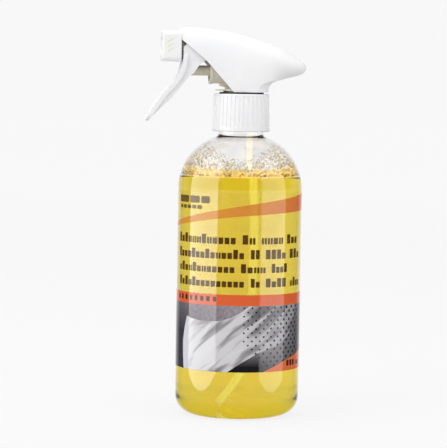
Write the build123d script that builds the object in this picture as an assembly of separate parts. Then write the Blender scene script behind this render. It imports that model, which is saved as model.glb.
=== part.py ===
"""A 500 ml trigger-spray bottle of clay-bar lubricant, as an assembly of separate pieces.

Frame: millimetres, +Z up along the bottle's axis, origin at the centre of the base on the floor.
The nozzle sprays towards -X and the label faces -Y.
"""

import math
import os

from build123d import *

# ---- driving dimensions -------------------------------------------------------------------------
BODY_R = 35.4  # outside radius of the bottle
WALL = 0.8
HEEL_R = 11.0
PUSH_UP = 4.5  # height of the dome under the base
RING_R = 20.0  # inner radius of the standing ring
SHOULDER_Z = 130.0
SHOULDER_R = 31.0
FILL_Z = 137.0
FINISH_TOP = 179.6

# 28-410 neck finish and its screw closure
NECK_R = 12.7
NECK_BORE_R = 10.85
PITCH = 4.233  # six threads to the inch
THREAD_TURNS = 1.25
THREAD_Z = 169.6  # height of the bottle's thread where it starts
THREAD_DEPTH = 1.05
THREAD_CLEARANCE = 0.25
THREAD_ROOT, THREAD_CREST = 2.0, 1.0  # widths of the bottle's thread
FLANK_GAP = 0.08

COLLAR_TOP, COLLAR_BOTTOM = 184.0, 162.6
COLLAR_TOP_R, COLLAR_BOTTOM_R = 15.9, 16.4
COLLAR_BORE_R = NECK_R + THREAD_DEPTH + THREAD_CLEARANCE
COLLAR_RIM = 1.4
COLLAR_HOLE_R = 11.2
FLUTES = 40

# sprayer: the pump's axis, the barrel's axis, the inlet column and the trigger's pivot
PUMP_Z = 197.0
BARREL_Z = 210.6
COLUMN_X = 5.0
COLUMN_R = 4.2
TRIGGER_SWING = 24.0  # degrees from rest to fully squeezed
PIVOT_X = -27.6
PIVOT_R = 2.0
LEVER = BARREL_Z - PUMP_Z
PIN_X = PIVOT_X - LEVER * math.tan(math.radians(TRIGGER_SWING / 2))
PIN_R = 1.5
STROKE = 2 * LEVER * math.tan(math.radians(TRIGGER_SWING / 2))

CYLINDER_MOUTH_X, CYLINDER_REAR_X = -18.8, 2.6
BORE_END_X = -0.8
BORE_R = 6.2
BARREL_R, BARREL_BORE_R = 3.5, 1.7
SNOUT_R = 5.0  # the barrel's front end, which the nozzle turns on
SNOUT_REAR_X, SNOUT_FRONT_X = -35.9, -42.0
NOZZLE_REAR_X, NOZZLE_FRONT_X = -35.75, -46.4
NOZZLE_HALF = 9.0
NOZZLE_TAPER = 2.6  # degrees

FLANGE_R = 13.3
FLANGE_BOTTOM, FLANGE_TOP = 180.74, 182.54
COLLAR_PLATE_TOP = 183.4
STEM_R = 9.7  # the pump body's neck above the collar's plate
RETAINER_R, RETAINER_TOP = 12.7, 184.94
DECK_R = 10.6
DECK_BOTTOM, DECK_TOP = 185.6, 186.5
COLUMN_TOP, COLUMN_TOP_R = 213.5, 3.5
BALL_R = 2.0
VALVE_SEAT_R = 1.5
INLET_SEAT_Z = 181.2
OUTLET_SEAT_Z = 202.5
CHAMBER_R = 2.95
TUBE_R, TUBE_BORE_R = 1.9, 1.25
TUBE_TOP = 177.0
TUBE_FOOT_X, TUBE_FOOT_Z = -8.0, 7.0
TUBE_LEAN = 32.0  # degrees from upright, at the foot
UNSCREW_TURNS = 2.25
UNSCREW_LIFT = UNSCREW_TURNS * PITCH

# piston, cup and spring
CUP_FRONT_X, CUP_REAR_X = -17.5, -11.0
CUP_WALL = 1.6
SPIGOT_R = 1.95
SPRING_WIRE_R, SPRING_R = 0.4, 3.9
SPRING_TURNS = 6.5

# trigger
TRIGGER_FACE_X = -34.4  # its front face, just behind the nozzle
PLATE_THICK = 2.3
TRIGGER_HALF = 9.3  # half width of the finger plate
TIP_HALF = 7.4
CHEEK_INNER, CHEEK_OUTER = 5.9, 7.5

SHROUD_WALL = 1.3
SHROUD_FRONT_X = -35.6
RUN = 0.05  # radial clearance of pieces that slide or turn in one another

LABEL_BOTTOM, LABEL_TOP = 28.0, 129.0
LABEL_GAP, LABEL_THICK = 0.02, 0.15
LABEL_SPAN = 190.0  # degrees round the bottle


# ---- helpers ------------------------------------------------------------------------------------
def ring_z(outer, inner, bottom, top, x=0.0):
    """A tube or disc about a vertical axis through x."""
    shape = Pos(x, 0, (bottom + top) / 2) * Cylinder(outer, top - bottom)
    if inner > 0:
        shape -= Pos(x, 0, (bottom + top) / 2) * Cylinder(inner, top - bottom + 2)
    return shape


def rod_x(radius, x_from, x_to, z):
    """A solid rod along X."""
    middle = Pos((x_from + x_to) / 2, 0, z)
    return middle * Rot(0, 90, 0) * Cylinder(radius, abs(x_to - x_from))


def rod_y(radius, half_length, x, z):
    """A solid rod along Y, centred on the middle plane."""
    return Pos(x, 0, z) * Rot(90, 0, 0) * Cylinder(radius, 2 * half_length)


def plate_y(outline, y_from, y_to):
    """A side outline in the XZ plane given thickness along Y."""
    return extrude(Plane.XZ.offset(-y_from) * outline, -(y_to - y_from))


def both_sides(outline, y_from, y_to):
    """Two mirrored plates, one on each side of the middle plane."""
    return plate_y(outline, y_from, y_to) + plate_y(outline, -y_to, -y_from)


def polygon(*points):
    return make_face(Polyline(*points, close=True))


def rounded(face, corners):
    """Rounds named corners of a flat face: {(x, z): radius}."""
    for (x, z), radius in corners.items():
        corner = min(face.vertices(), key=lambda v: math.hypot(v.X - x, v.Y - z))
        face = fillet(corner, radius)
    return face


def turned(face):
    return revolve(Plane.XZ * face, Axis.Z)


def helix_thread(radius, root, crest, depth, z, turns, inward=False):
    """A trapezoid thread whose root is sunk 0.3 mm into the wall it grows from."""
    sunk = 0.3
    sign = -1 if inward else 1
    path = Pos(0, 0, z) * Helix(PITCH, PITCH * turns, radius)
    profile = polygon(
        (-sign * sunk, -root / 2),
        (0, -root / 2),
        (sign * depth, -crest / 2),
        (sign * depth, crest / 2),
        (0, root / 2),
        (-sign * sunk, root / 2),
    )
    plane = Plane(origin=path @ 0, x_dir=(1, 0, 0), z_dir=path % 0)
    return sweep(plane * profile, path, is_frenet=True)


# ---- bottle, contents and label -----------------------------------------------------------------
def body_face(offset, neck_r, top):
    """Half of the bottle's filled outline, moved in from the outside surface by offset."""
    heel_x, shoulder_x = BODY_R - HEEL_R, BODY_R - SHOULDER_R
    shoulder_r = SHOULDER_R - offset
    neck_angle = math.acos((neck_r - shoulder_x) / shoulder_r)
    neck_z = SHOULDER_Z + shoulder_r * math.sin(neck_angle)
    dome = ThreePointArc(
        (0, PUSH_UP + offset), (RING_R / 2, 0.76 * PUSH_UP + offset), (RING_R, offset)
    )
    heel = CenterArc((heel_x, HEEL_R), HEEL_R - offset, 270, 90)
    shoulder = CenterArc((shoulder_x, SHOULDER_Z), shoulder_r, 0, math.degrees(neck_angle))
    edges = [
        dome,
        Line((RING_R, offset), (heel_x, offset)),
        heel,
        Line((BODY_R - offset, HEEL_R), (BODY_R - offset, SHOULDER_Z)),
        shoulder,
        Line((neck_r, neck_z), (neck_r, top)),
        Line((neck_r, top), (0, top)),
        Line((0, top), (0, PUSH_UP + offset)),
    ]
    return make_face(edges)


def make_bottle():
    outside = turned(body_face(0, NECK_R, FINISH_TOP))
    foot_z = SHOULDER_Z + math.sqrt(SHOULDER_R**2 - (NECK_R - BODY_R + SHOULDER_R) ** 2)
    neck_foot = [e for e in outside.edges() if abs(e.center().Z - foot_z) < 0.2]
    outside = fillet(neck_foot, 1.6)
    lip = [e for e in outside.edges() if abs(e.center().Z - FINISH_TOP) < 0.01]
    outside = fillet(lip, 0.5)
    bottle = outside - turned(body_face(WALL, NECK_BORE_R, FINISH_TOP + 2))
    thread = helix_thread(NECK_R, THREAD_ROOT, THREAD_CREST, THREAD_DEPTH, THREAD_Z, THREAD_TURNS)
    return bottle + thread


def tube_path():
    """The dip tube's centre line: straight in its socket, bowed back, then forward to the base."""
    socket_end = TUBE_TOP - 12
    bow = Spline(
        (COLUMN_X, 0, socket_end),
        (COLUMN_X + 0.9, 0, 130),
        (COLUMN_X + 1.4, 0, 95),
        (COLUMN_X + 0.7, 0, 52),
        (COLUMN_X - 2.0, 0, 28),
        (TUBE_FOOT_X, 0, TUBE_FOOT_Z),
        tangents=[(0, 0, -1), (-math.tan(math.radians(TUBE_LEAN)), 0, -1)],
    )
    return Line((COLUMN_X, 0, TUBE_TOP), (COLUMN_X, 0, socket_end)) + bow


def make_dip_tube():
    path = tube_path()
    plane = Plane(origin=path @ 0, z_dir=path % 0)
    tube = sweep(plane * (Circle(TUBE_R) - Circle(TUBE_BORE_R)), path)
    slant = Pos(TUBE_FOOT_X, 0, TUBE_FOOT_Z - 3.4) * Rot(0, -20, 0) * Box(14, 14, 6)
    return tube - slant


def tube_channel(gap=0.30, steps=48):
    """The room the dip tube sweeps through the liquid as the closure is unscrewed."""
    path = tube_path()
    points = [path @ (i / steps) for i in range(steps + 1)]
    half = TUBE_R / math.cos(math.radians(TUBE_LEAN)) + gap
    low, high = points[-1].Z - 3, points[0].Z

    def centre_x(z):
        z = min(max(z, points[-1].Z), points[0].Z)
        for a, b in zip(points, points[1:]):
            if b.Z <= z <= a.Z:
                return b.X + (a.X - b.X) * (z - b.Z) / (a.Z - b.Z)
        return points[0].X

    heights = [low + (high - low) * i / steps for i in range(steps + 1)]
    left, right = [], []
    for z in heights:
        spread = [centre_x(z - UNSCREW_LIFT * k / 4) for k in range(5)]
        left.append((min(spread) - half, z))
        right.append((max(spread) + half, z))
    outline = polygon(*left, *reversed(right))
    return plate_y(outline, -TUBE_R - gap, TUBE_R + gap)


def make_liquid():
    skin = WALL + 0.05
    whole = turned(body_face(skin, NECK_BORE_R, FINISH_TOP))
    below = Pos(0, 0, FILL_Z / 2) * Cylinder(BODY_R, FILL_Z)
    return (whole & below) - tube_channel()


def make_label():
    inner = BODY_R + LABEL_GAP
    strip = polygon(
        (inner, LABEL_BOTTOM),
        (inner + LABEL_THICK, LABEL_BOTTOM),
        (inner + LABEL_THICK, LABEL_TOP),
        (inner, LABEL_TOP),
    )
    film = revolve(Plane.XZ * strip, Axis.Z, LABEL_SPAN)
    return Rot(0, 0, -90 - LABEL_SPAN / 2) * film


# ---- closure ------------------------------------------------------------------------------------
def make_collar():
    plate_under = FLANGE_TOP + 0.06
    face = polygon(
        (COLLAR_BORE_R, COLLAR_BOTTOM),
        (COLLAR_BOTTOM_R, COLLAR_BOTTOM),
        (COLLAR_TOP_R, COLLAR_TOP),
        (COLLAR_TOP_R - COLLAR_RIM, COLLAR_TOP),
        (COLLAR_TOP_R - COLLAR_RIM - 0.4, COLLAR_PLATE_TOP),
        (COLLAR_HOLE_R, COLLAR_PLATE_TOP),
        (COLLAR_HOLE_R, plate_under),
        (COLLAR_BORE_R, plate_under),
    )
    corners = {(COLLAR_TOP_R, COLLAR_TOP): 0.6, (COLLAR_BOTTOM_R, COLLAR_BOTTOM): 0.5}
    shell = turned(rounded(face, corners))
    top_flank = THREAD_ROOT / 2 - 0.5 * THREAD_CLEARANCE / THREAD_DEPTH
    drop = top_flank + 0.45 + FLANK_GAP
    thread = helix_thread(
        COLLAR_BORE_R, 1.9, 0.9, THREAD_DEPTH, THREAD_Z - drop, THREAD_TURNS, inward=True
    )
    return shell + thread - Compound(children=collar_flutes())


def collar_flutes():
    """Round-ended grooves that leave the collar's finger ribs between them."""
    flute_r, depth = 0.75, 0.42
    low, high = COLLAR_BOTTOM + 2.8, COLLAR_TOP - 1.5
    height = COLLAR_TOP - COLLAR_BOTTOM
    slope = (COLLAR_BOTTOM_R - COLLAR_TOP_R) / height
    middle_r = (COLLAR_TOP_R + COLLAR_BOTTOM_R) / 2 + flute_r - depth
    capsule = Cylinder(flute_r, high - low)
    capsule += Pos(0, 0, (high - low) / 2) * Sphere(flute_r)
    capsule += Pos(0, 0, (low - high) / 2) * Sphere(flute_r)
    tilted = Pos(middle_r, 0, (low + high) / 2) * Rot(0, -math.degrees(math.atan(slope)), 0) * capsule
    return [Rot(0, 0, 360 / FLUTES * i) * tilted for i in range(FLUTES)]


def make_gasket():
    return ring_z(13.2, 9.3, FINISH_TOP + 0.02, FLANGE_BOTTOM - 0.02)


def make_collar_retainer():
    """The dark stepped ring on the pump's neck that keeps the collar from climbing it."""
    floor = COLLAR_PLATE_TOP + 0.06
    ring = ring_z(RETAINER_R, STEM_R + 0.02, floor, RETAINER_TOP)
    return ring + ring_z(DECK_R - 0.1, STEM_R + 0.02, floor, DECK_BOTTOM - 0.04)


# ---- pump engine --------------------------------------------------------------------------------
def make_pump_body():
    body = ring_z(FLANGE_R, 0, FLANGE_BOTTOM, FLANGE_TOP)
    body += ring_z(COLLAR_HOLE_R - 0.25, 0, FLANGE_TOP - 0.1, COLLAR_PLATE_TOP + 0.04)
    body += ring_z(STEM_R, 0, COLLAR_PLATE_TOP, DECK_BOTTOM + 0.1)
    body += ring_z(DECK_R, 0, DECK_BOTTOM, DECK_TOP)
    body += front_tongue()
    body += ring_z(8.9, 7.7, FLANGE_BOTTOM - 5, FLANGE_BOTTOM + 0.1)
    column_bottom = FLANGE_BOTTOM - 7.2
    body += ring_z(COLUMN_R, 0, column_bottom, PUMP_Z + BORE_R, COLUMN_X)
    body += ring_z(COLUMN_TOP_R, 0, PUMP_Z, COLUMN_TOP, COLUMN_X)
    body += rod_x(BORE_R + 1.1, CYLINDER_MOUTH_X, CYLINDER_REAR_X, PUMP_Z)
    body += rod_x(BORE_R + 1.5, CYLINDER_MOUTH_X, CYLINDER_MOUTH_X + 1.5, PUMP_Z)
    body += rod_x(BARREL_R, COLUMN_X, SNOUT_REAR_X, BARREL_Z)
    body += rod_x(SNOUT_R, SNOUT_REAR_X, SNOUT_FRONT_X, BARREL_Z)
    body += under_gusset()
    body += barrel_web()
    body += rod_y(3.5, 5.6, PIVOT_X, BARREL_Z)
    body += rod_y(PIVOT_R, 7.4, PIVOT_X, BARREL_Z)
    body -= rod_x(BORE_R, CYLINDER_MOUTH_X - 1, BORE_END_X, PUMP_Z)
    body -= column_passages(column_bottom)
    body -= rod_x(BARREL_BORE_R, COLUMN_X, SNOUT_FRONT_X - 1, BARREL_Z)
    body -= rod_x(1.0, BORE_END_X - 1, COLUMN_X, PUMP_Z - 3.6)
    body -= ring_z(0.6, 0, FLANGE_BOTTOM - 1, PUMP_Z - BORE_R + 0.5, -8.4)
    body -= snout_groove()
    return body


def front_tongue():
    """A thin stop that sticks out of the deck under the cylinder's mouth."""
    reach, half_width = 15.0, 5.5
    disc = ring_z(reach, 0, DECK_BOTTOM, DECK_TOP - 0.1)
    return disc & Pos(-reach / 2 - 3, 0, DECK_TOP) * Box(reach, 2 * half_width, 4)


def under_gusset():
    """The stepped rib that carries the cylinder on the deck."""
    outline = polygon(
        (-12.6, PUMP_Z - 5),
        (-12.6, 188.4),
        (-9.4, 187.6),
        (-9.4, DECK_TOP - 0.1),
        (COLUMN_X, DECK_TOP - 0.1),
        (COLUMN_X, PUMP_Z - 5),
    )
    return plate_y(outline, -3.2, 3.2)


def barrel_web():
    """The web that ties the barrel to the cylinder."""
    outline = polygon(
        (-15.0, PUMP_Z + BORE_R),
        (COLUMN_X, PUMP_Z + BORE_R),
        (COLUMN_X, BARREL_Z),
        (-21.0, BARREL_Z),
        (-21.0, BARREL_Z - 2.5),
    )
    return plate_y(outline, -0.8, 0.8)


def column_passages(column_bottom):
    """The two ball chambers and the narrow way between them."""
    inlet_top = INLET_SEAT_Z + 5.2
    cut = ring_z(CHAMBER_R, 0, column_bottom - 1, inlet_top, COLUMN_X)
    cut += ring_z(VALVE_SEAT_R, 0, inlet_top - 0.5, OUTLET_SEAT_Z + 0.5, COLUMN_X)
    cut += ring_z(BALL_R + 0.35, 0, OUTLET_SEAT_Z, BARREL_Z + BARREL_R + 1, COLUMN_X)
    return cut


def snout_groove():
    """The groove for the nozzle's seal ring."""
    groove_x = (SNOUT_REAR_X + SNOUT_FRONT_X) / 2
    band = rod_x(SNOUT_R + 1, groove_x - 0.6, groove_x + 0.6, BARREL_Z)
    return band - rod_x(SNOUT_R - 1.0, groove_x - 1, groove_x + 1, BARREL_Z)


def make_nozzle_seal():
    groove_x = (SNOUT_REAR_X + SNOUT_FRONT_X) / 2
    return Pos(groove_x, 0, BARREL_Z) * Rot(0, 90, 0) * Torus(SNOUT_R - 0.48, 0.48)


def make_inlet_fitting():
    """Holds the dip tube below and carries the inlet ball's seat on top."""
    shoulder_z = FLANGE_BOTTOM - 7.24
    fitting = ring_z(CHAMBER_R - 0.02, 0, shoulder_z, INLET_SEAT_Z, COLUMN_X)
    fitting += ring_z(COLUMN_R, 0, shoulder_z - 1.4, shoulder_z, COLUMN_X)
    fitting += ring_z(TUBE_R + 1.1, 0, shoulder_z - 6.5, shoulder_z, COLUMN_X)
    fitting -= ring_z(TUBE_R + 0.03, 0, shoulder_z - 8, TUBE_TOP + 0.1, COLUMN_X)
    fitting -= ring_z(VALVE_SEAT_R, 0, TUBE_TOP - 1, INLET_SEAT_Z + 1, COLUMN_X)
    return fitting


def make_ball(seat_z):
    """A check ball resting on the edge of its seat."""
    seat_height = math.sqrt((BALL_R + 0.02) ** 2 - VALVE_SEAT_R**2)
    return Pos(COLUMN_X, 0, seat_z + seat_height) * Sphere(BALL_R)


def make_column_plug():
    """A dished stopper pressed into the top of the column."""
    plug = ring_z(BALL_R + 0.33, 0, COLUMN_TOP - 1.3, COLUMN_TOP, COLUMN_X)
    return plug - ring_z(1.3, 0, COLUMN_TOP - 0.5, COLUMN_TOP + 1, COLUMN_X)


def make_spinner():
    """The swirl plug in the barrel's mouth: four slots feed a spinning sheet to the orifice."""
    head_front = SNOUT_FRONT_X - 0.9
    spinner = rod_x(BARREL_BORE_R - 0.03, SNOUT_FRONT_X + 4.5, SNOUT_FRONT_X - 0.5, BARREL_Z)
    spinner += rod_x(2.5, SNOUT_FRONT_X - 0.02, head_front, BARREL_Z)
    for quarter in range(4):
        slot = Pos(SNOUT_FRONT_X + 1.6, 0, 0) * Box(7, 0.7, 0.7)
        turn = Pos(0, 0, BARREL_Z) * Rot(90 * quarter, 0, 0) * Pos(0, 0, BARREL_BORE_R)
        spinner -= turn * slot
    return spinner


# ---- piston -------------------------------------------------------------------------------------
def make_piston_rod():
    """The push rod: a cross pin held in the trigger, a shank, and a spigot in the cup."""
    rod = rod_x(2.9, PIN_X + 1.2, CUP_FRONT_X - 0.03, PUMP_Z)
    rod += rod_y(2.6, 2.9, PIN_X, PUMP_Z)
    rod += rod_y(PIN_R, 5.1, PIN_X, PUMP_Z)
    spigot_end = CUP_FRONT_X + CUP_WALL + 1.1
    rod += rod_x(SPIGOT_R, CUP_FRONT_X - 0.5, spigot_end, PUMP_Z)
    rod += rod_x(SPIGOT_R + 0.5, CUP_FRONT_X + CUP_WALL + 0.04, spigot_end, PUMP_Z)
    return rod


def make_piston_cup():
    """The soft cup: two sealing lips with a waist between them, hollow towards the spring."""
    lip = 1.5
    cup = rod_x(BORE_R - RUN, CUP_FRONT_X, CUP_REAR_X, PUMP_Z)
    waist = rod_x(BORE_R + 1, CUP_FRONT_X + lip, CUP_REAR_X - lip, PUMP_Z)
    cup -= waist - rod_x(BORE_R - 0.7, CUP_FRONT_X, CUP_REAR_X, PUMP_Z)
    cup -= rod_x(4.7, CUP_FRONT_X + CUP_WALL, CUP_REAR_X + 1, PUMP_Z)
    cup -= rod_x(SPIGOT_R + RUN, CUP_FRONT_X - 1, CUP_REAR_X, PUMP_Z)
    return cup


def make_return_spring():
    """The coil that pushes the piston and the trigger forward again."""
    front = CUP_FRONT_X + CUP_WALL + SPRING_WIRE_R + 0.04
    rear = BORE_END_X - SPRING_WIRE_R - 0.04
    path = Helix((rear - front) / SPRING_TURNS, rear - front, SPRING_R)
    wire = sweep(Plane(origin=path @ 0, z_dir=path % 0) * Circle(SPRING_WIRE_R), path, is_frenet=True)
    return Pos(front, 0, PUMP_Z) * Rot(0, 90, 0) * wire


# ---- trigger ------------------------------------------------------------------------------------
TRIGGER_FRONT = [
    (TRIGGER_FACE_X, 206.0),
    (-34.8, 201.2),
    (-36.2, 196.2),
    (-39.5, 190.9),
    (-45.6, 184.0),
    (-51.3, 175.8),
    (-55.4, 168.6),
]
TRIGGER_REAR = [
    (-54.0, 168.0),
    (-51.2, 171.2),
    (-41.7, 180.2),
    (-33.9, 189.7),
    (-30.8, 193.5),
    (-28.3, 195.5),
]


def trigger_outline():
    """The side view of the whole lever, from its pivot cheeks to its tip."""
    front = Spline(*TRIGGER_FRONT)
    rear = Spline(*TRIGGER_REAR)
    top = [(-28.3, 195.5), (-24.9, 200.6), (-21.4, 202.8), (-22.2, 207.4), (-24.4, 212.0)]
    top += [(-27.6, 213.8), (-31.4, 213.0), (TRIGGER_FACE_X, 210.0), TRIGGER_FRONT[0]]
    return make_face([front, Line(TRIGGER_FRONT[-1], TRIGGER_REAR[0]), rear, Polyline(*top)])


def finger_plate():
    """The curved front plate that the fingers pull on."""
    back = [(x + PLATE_THICK * 0.86, z - PLATE_THICK * 0.5) for x, z in TRIGGER_FRONT[2:-1]]
    back = [(TRIGGER_FACE_X + PLATE_THICK, 206.0), (TRIGGER_FACE_X - 0.5 + PLATE_THICK, 201.0)] + back
    tip = (TRIGGER_FRONT[-1][0] + 1.5, TRIGGER_FRONT[-1][1] - 0.7)
    edges = [
        Spline(*TRIGGER_FRONT),
        Line(TRIGGER_FRONT[-1], tip),
        Spline(tip, *reversed(back)),
        Line(back[0], TRIGGER_FRONT[0]),
    ]
    return make_face(edges)


def front_view(half_top, half_bottom):
    """The lever seen from the front: wide under the nozzle, with a round tip."""
    tip_z = 167.0
    outline = polygon(
        (-half_bottom, tip_z), (half_bottom, tip_z), (half_top, 200.0), (half_top, 216.0),
        (-half_top, 216.0), (-half_top, 200.0),
    )
    outline = rounded(outline, {(half_bottom, tip_z): 5.0, (-half_bottom, tip_z): 5.0})
    return extrude(Plane.YZ.offset(-60) * outline, 45)


def make_trigger():
    web_inset = 0.9
    webs = plate_y(trigger_outline(), -CHEEK_OUTER, CHEEK_OUTER)
    webs -= plate_y(trigger_outline(), -CHEEK_INNER, CHEEK_INNER)
    webs &= front_view(CHEEK_OUTER, TIP_HALF - web_inset)
    plate = plate_y(finger_plate(), -TRIGGER_HALF, TRIGGER_HALF)
    plate &= front_view(TRIGGER_HALF, TIP_HALF)
    barrel_notch = Pos(-34.5, 0, BARREL_Z) * Box(6, 2 * CHEEK_INNER, 13.6)
    lever = (webs + (plate - barrel_notch)) + pin_lugs() + tip_rib()
    lever -= rod_y(PIVOT_R + RUN, 12, PIVOT_X, BARREL_Z)
    return lever


def pin_lugs():
    """Two inner ears whose slots carry the push rod's cross pin."""
    ear = polygon(
        (TRIGGER_FACE_X, PUMP_Z + 4.5),
        (PIN_X + 1.0, PUMP_Z + 3.6),
        (PIN_X + 3.2, PUMP_Z + 1.8),
        (PIN_X + 3.2, PUMP_Z - 2.2),
        (PIN_X + 1.0, PUMP_Z - 4.0),
        (-35.9, PUMP_Z - 4.5),
    )
    lugs = both_sides(ear, 3.4, 5.4) & plate_y(trigger_outline() + finger_plate(), -8, 8)
    reach = LEVER / math.cos(math.radians(TRIGGER_SWING / 2))
    slot_r = PIN_R + 0.12
    slot = Pos(0, 0, -reach) * rod_y(slot_r, 8, 0, -0.25) + Pos(0, 0, -LEVER) * rod_y(slot_r, 8, 0, 0.2)
    slot += Pos(0, 0, -(reach + LEVER) / 2) * Box(2 * slot_r, 16, reach - LEVER + 0.45)
    lean = Pos(PIVOT_X, 0, BARREL_Z) * Rot(0, TRIGGER_SWING / 2, 0)
    return lugs - lean * slot


def tip_rib():
    """The stiffening rib down the middle of the lever's back."""
    return plate_y(trigger_outline(), -0.7, 0.7) & Pos(-46.0, 0, 176.0) * Box(24, 4, 24)


# ---- shroud -------------------------------------------------------------------------------------
# Closed cross sections along X: top height, half width and the height where it is widest, bottom.
# The sections over the pump run far below the foot, which the foot and the flare then trim.
SHROUD_SECTIONS = [
    (-35.6, 221.0, 10.9, 212.0, 158.0),
    (-29.6, 221.3, 11.0, 211.4, 158.0),
    (-23.6, 221.2, 11.2, 210.6, 158.0),
    (-17.6, 220.7, 11.6, 209.5, 158.0),
    (-11.6, 219.8, 12.3, 208.3, 158.0),
    (-5.6, 218.8, 13.2, 207.1, 158.0),
    (0.4, 217.4, 14.0, 206.2, 159.0),
    (6.4, 215.8, 14.5, 205.3, 162.0),
    (11.4, 214.3, 14.5, 204.4, 168.0),
    (15.4, 213.0, 14.2, 203.7, 178.0),
    (19.0, 211.7, 13.6, 203.1, 188.0),
    (22.5, 210.2, 12.7, 202.5, 191.9),
    (26.0, 208.4, 11.6, 201.8, 193.4),
    (29.0, 206.7, 10.4, 201.0, 194.0),
    (31.8, 205.1, 9.2, 200.4, 194.8),
    (34.0, 203.6, 7.7, 199.9, 195.6),
    (35.6, 202.2, 5.9, 199.6, 196.6),
    (36.6, 200.9, 3.9, 199.4, 197.9),
]
FOOT_Z = 185.0
FLARE_X, FLARE_R = 1.0, 14.5  # the round skirt behind the pump
MOUTH_TOP, MOUTH_CORNER, MOUTH_FOOT = (-35.6, 214.4), (-21.3, 202.6), (-5.8, FOOT_Z)


def shroud_section(x, top, half, widest, bottom):
    """One domed cross section, facing +X."""
    haunch = top - 0.25 * (top - widest)
    side = [(0.62, top), (1, haunch), (1, widest), (1, (widest + bottom) / 2), (0.75, bottom)]
    right = Bezier((0, top), *[(half * k, z) for k, z in side], (0, bottom))
    left = Bezier((0, top), *[(-half * k, z) for k, z in side], (0, bottom))
    return Plane(origin=(x, 0, 0), x_dir=(0, 1, 0), z_dir=(1, 0, 0)) * make_face([left, right])


def shroud_body(inset):
    """The lofted dome and tail, or their inside when inset by the wall."""
    sections = []
    for x, top, half, widest, bottom in SHROUD_SECTIONS:
        if top - bottom > 2 * inset + 1.5:
            sections.append(shroud_section(x, top - inset, half - inset, widest, bottom + inset))
    return loft(sections)


def shroud_flare(inset):
    """The round skirt that flares out into the underside of the tail."""
    skirt, top = FLARE_R - inset, 230
    curve = Spline(
        (skirt, 186.0),
        (skirt + 0.4, 188.2 + 0.2 * inset),
        (skirt + 2.1, 190.3 + 0.6 * inset),
        (skirt + 5.2, 191.8 + 0.9 * inset),
        (skirt + 10.0, 192.7 + inset),
        tangents=[(0, 1), (1, 0.1)],
    )
    ends = Polyline((skirt + 10, 192.7 + inset), (40, 195 + inset), (40, top), (0, top), (0, 170))
    foot = Polyline((0, 170), (skirt, 170), (skirt, 186))
    return Pos(FLARE_X, 0, 0) * turned(make_face([curve, ends, foot]))


def shroud_mouth():
    """The side outline of the open front, the slanted lower edge and the foot."""
    front_x, top, rear_x = MOUTH_TOP[0], 230, 60
    outline = polygon(
        (front_x, top), MOUTH_TOP, MOUTH_CORNER, MOUTH_FOOT, (rear_x, FOOT_Z), (rear_x, top)
    )
    return plate_y(rounded(outline, {MOUTH_CORNER: 2.5, MOUTH_FOOT: 1.2}), -20, 20)


def make_shroud():
    outside = shroud_body(0) & shroud_flare(0) & shroud_mouth()
    inside = shroud_body(SHROUD_WALL) & shroud_flare(SHROUD_WALL)
    inside -= Pos(SHROUD_FRONT_X + SHROUD_WALL - 20, 0, 200) * Box(40, 60, 80)
    saddle = polygon((-1.5, 205.0), (11.5, 205.0), (11.5, 216.0), (-1.5, 220.0))
    clips = both_sides(saddle, COLUMN_R + 0.15, COLUMN_R + 1.35) & shroud_body(0.4)
    barrel_notch = rod_x(BARREL_R + 0.3, SHROUD_FRONT_X - 1, PIVOT_X, BARREL_Z)
    return outside - inside + clips - barrel_notch


# ---- nozzle -------------------------------------------------------------------------------------
def nozzle_block(half, length, corner, taper):
    """A tapered square block that grows forward from the nozzle's rear face."""
    face = fillet((Rectangle(2 * half, 2 * half)).vertices(), corner)
    plane = Plane(origin=(NOZZLE_REAR_X, 0, BARREL_Z), x_dir=(0, 1, 0), z_dir=(-1, 0, 0))
    return extrude(plane * face, length, taper=taper)


def make_nozzle():
    length = NOZZLE_REAR_X - NOZZLE_FRONT_X
    cap = nozzle_block(NOZZLE_HALF, length, 3.0, NOZZLE_TAPER)
    front_edges = cap.faces().sort_by(Axis.X)[0].edges()
    cap = fillet(front_edges, 0.9)
    cap -= nozzle_block(NOZZLE_HALF - 1.5, length - 2.6, 1.8, NOZZLE_TAPER)
    socket_front = SNOUT_FRONT_X - 1.4
    cap += rod_x(SNOUT_R + 1.7, NOZZLE_REAR_X - 0.3, socket_front - 1, BARREL_Z)
    cap -= rod_x(SNOUT_R + RUN, NOZZLE_REAR_X + 1, socket_front + 0.5, BARREL_Z)
    cap -= rod_x(1.6, NOZZLE_REAR_X, socket_front - 1.2, BARREL_Z)
    cap -= rod_x(5.4, NOZZLE_FRONT_X - 1, NOZZLE_FRONT_X + 0.6, BARREL_Z) - rod_x(
        2.2, NOZZLE_FRONT_X - 1, NOZZLE_FRONT_X + 1, BARREL_Z
    )
    cap -= rod_x(0.4, NOZZLE_REAR_X, NOZZLE_FRONT_X - 1, BARREL_Z)
    return cap


# ---- assembly -----------------------------------------------------------------------------------
PARTS = {
    "bottle": make_bottle,
    "liquid": make_liquid,
    "label": make_label,
    "closure_collar": make_collar,
    "neck_gasket": make_gasket,
    "collar_retainer": make_collar_retainer,
    "pump_body": make_pump_body,
    "inlet_fitting": make_inlet_fitting,
    "inlet_ball": lambda: make_ball(INLET_SEAT_Z),
    "outlet_ball": lambda: make_ball(OUTLET_SEAT_Z),
    "column_plug": make_column_plug,
    "dip_tube": make_dip_tube,
    "piston_rod": make_piston_rod,
    "piston_cup": make_piston_cup,
    "return_spring": make_return_spring,
    "swirl_spinner": make_spinner,
    "nozzle_seal": make_nozzle_seal,
    "nozzle_cap": make_nozzle,
    "trigger": make_trigger,
    "shroud": make_shroud,
}

os.makedirs("parts", exist_ok=True)
for name, make in PARTS.items():
    export_step(make(), f"parts/{name}.step")
print("wrote", len(PARTS), "parts; stroke", round(STROKE, 3), "pin x", round(PIN_X, 3))
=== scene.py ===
import math
import random

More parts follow.
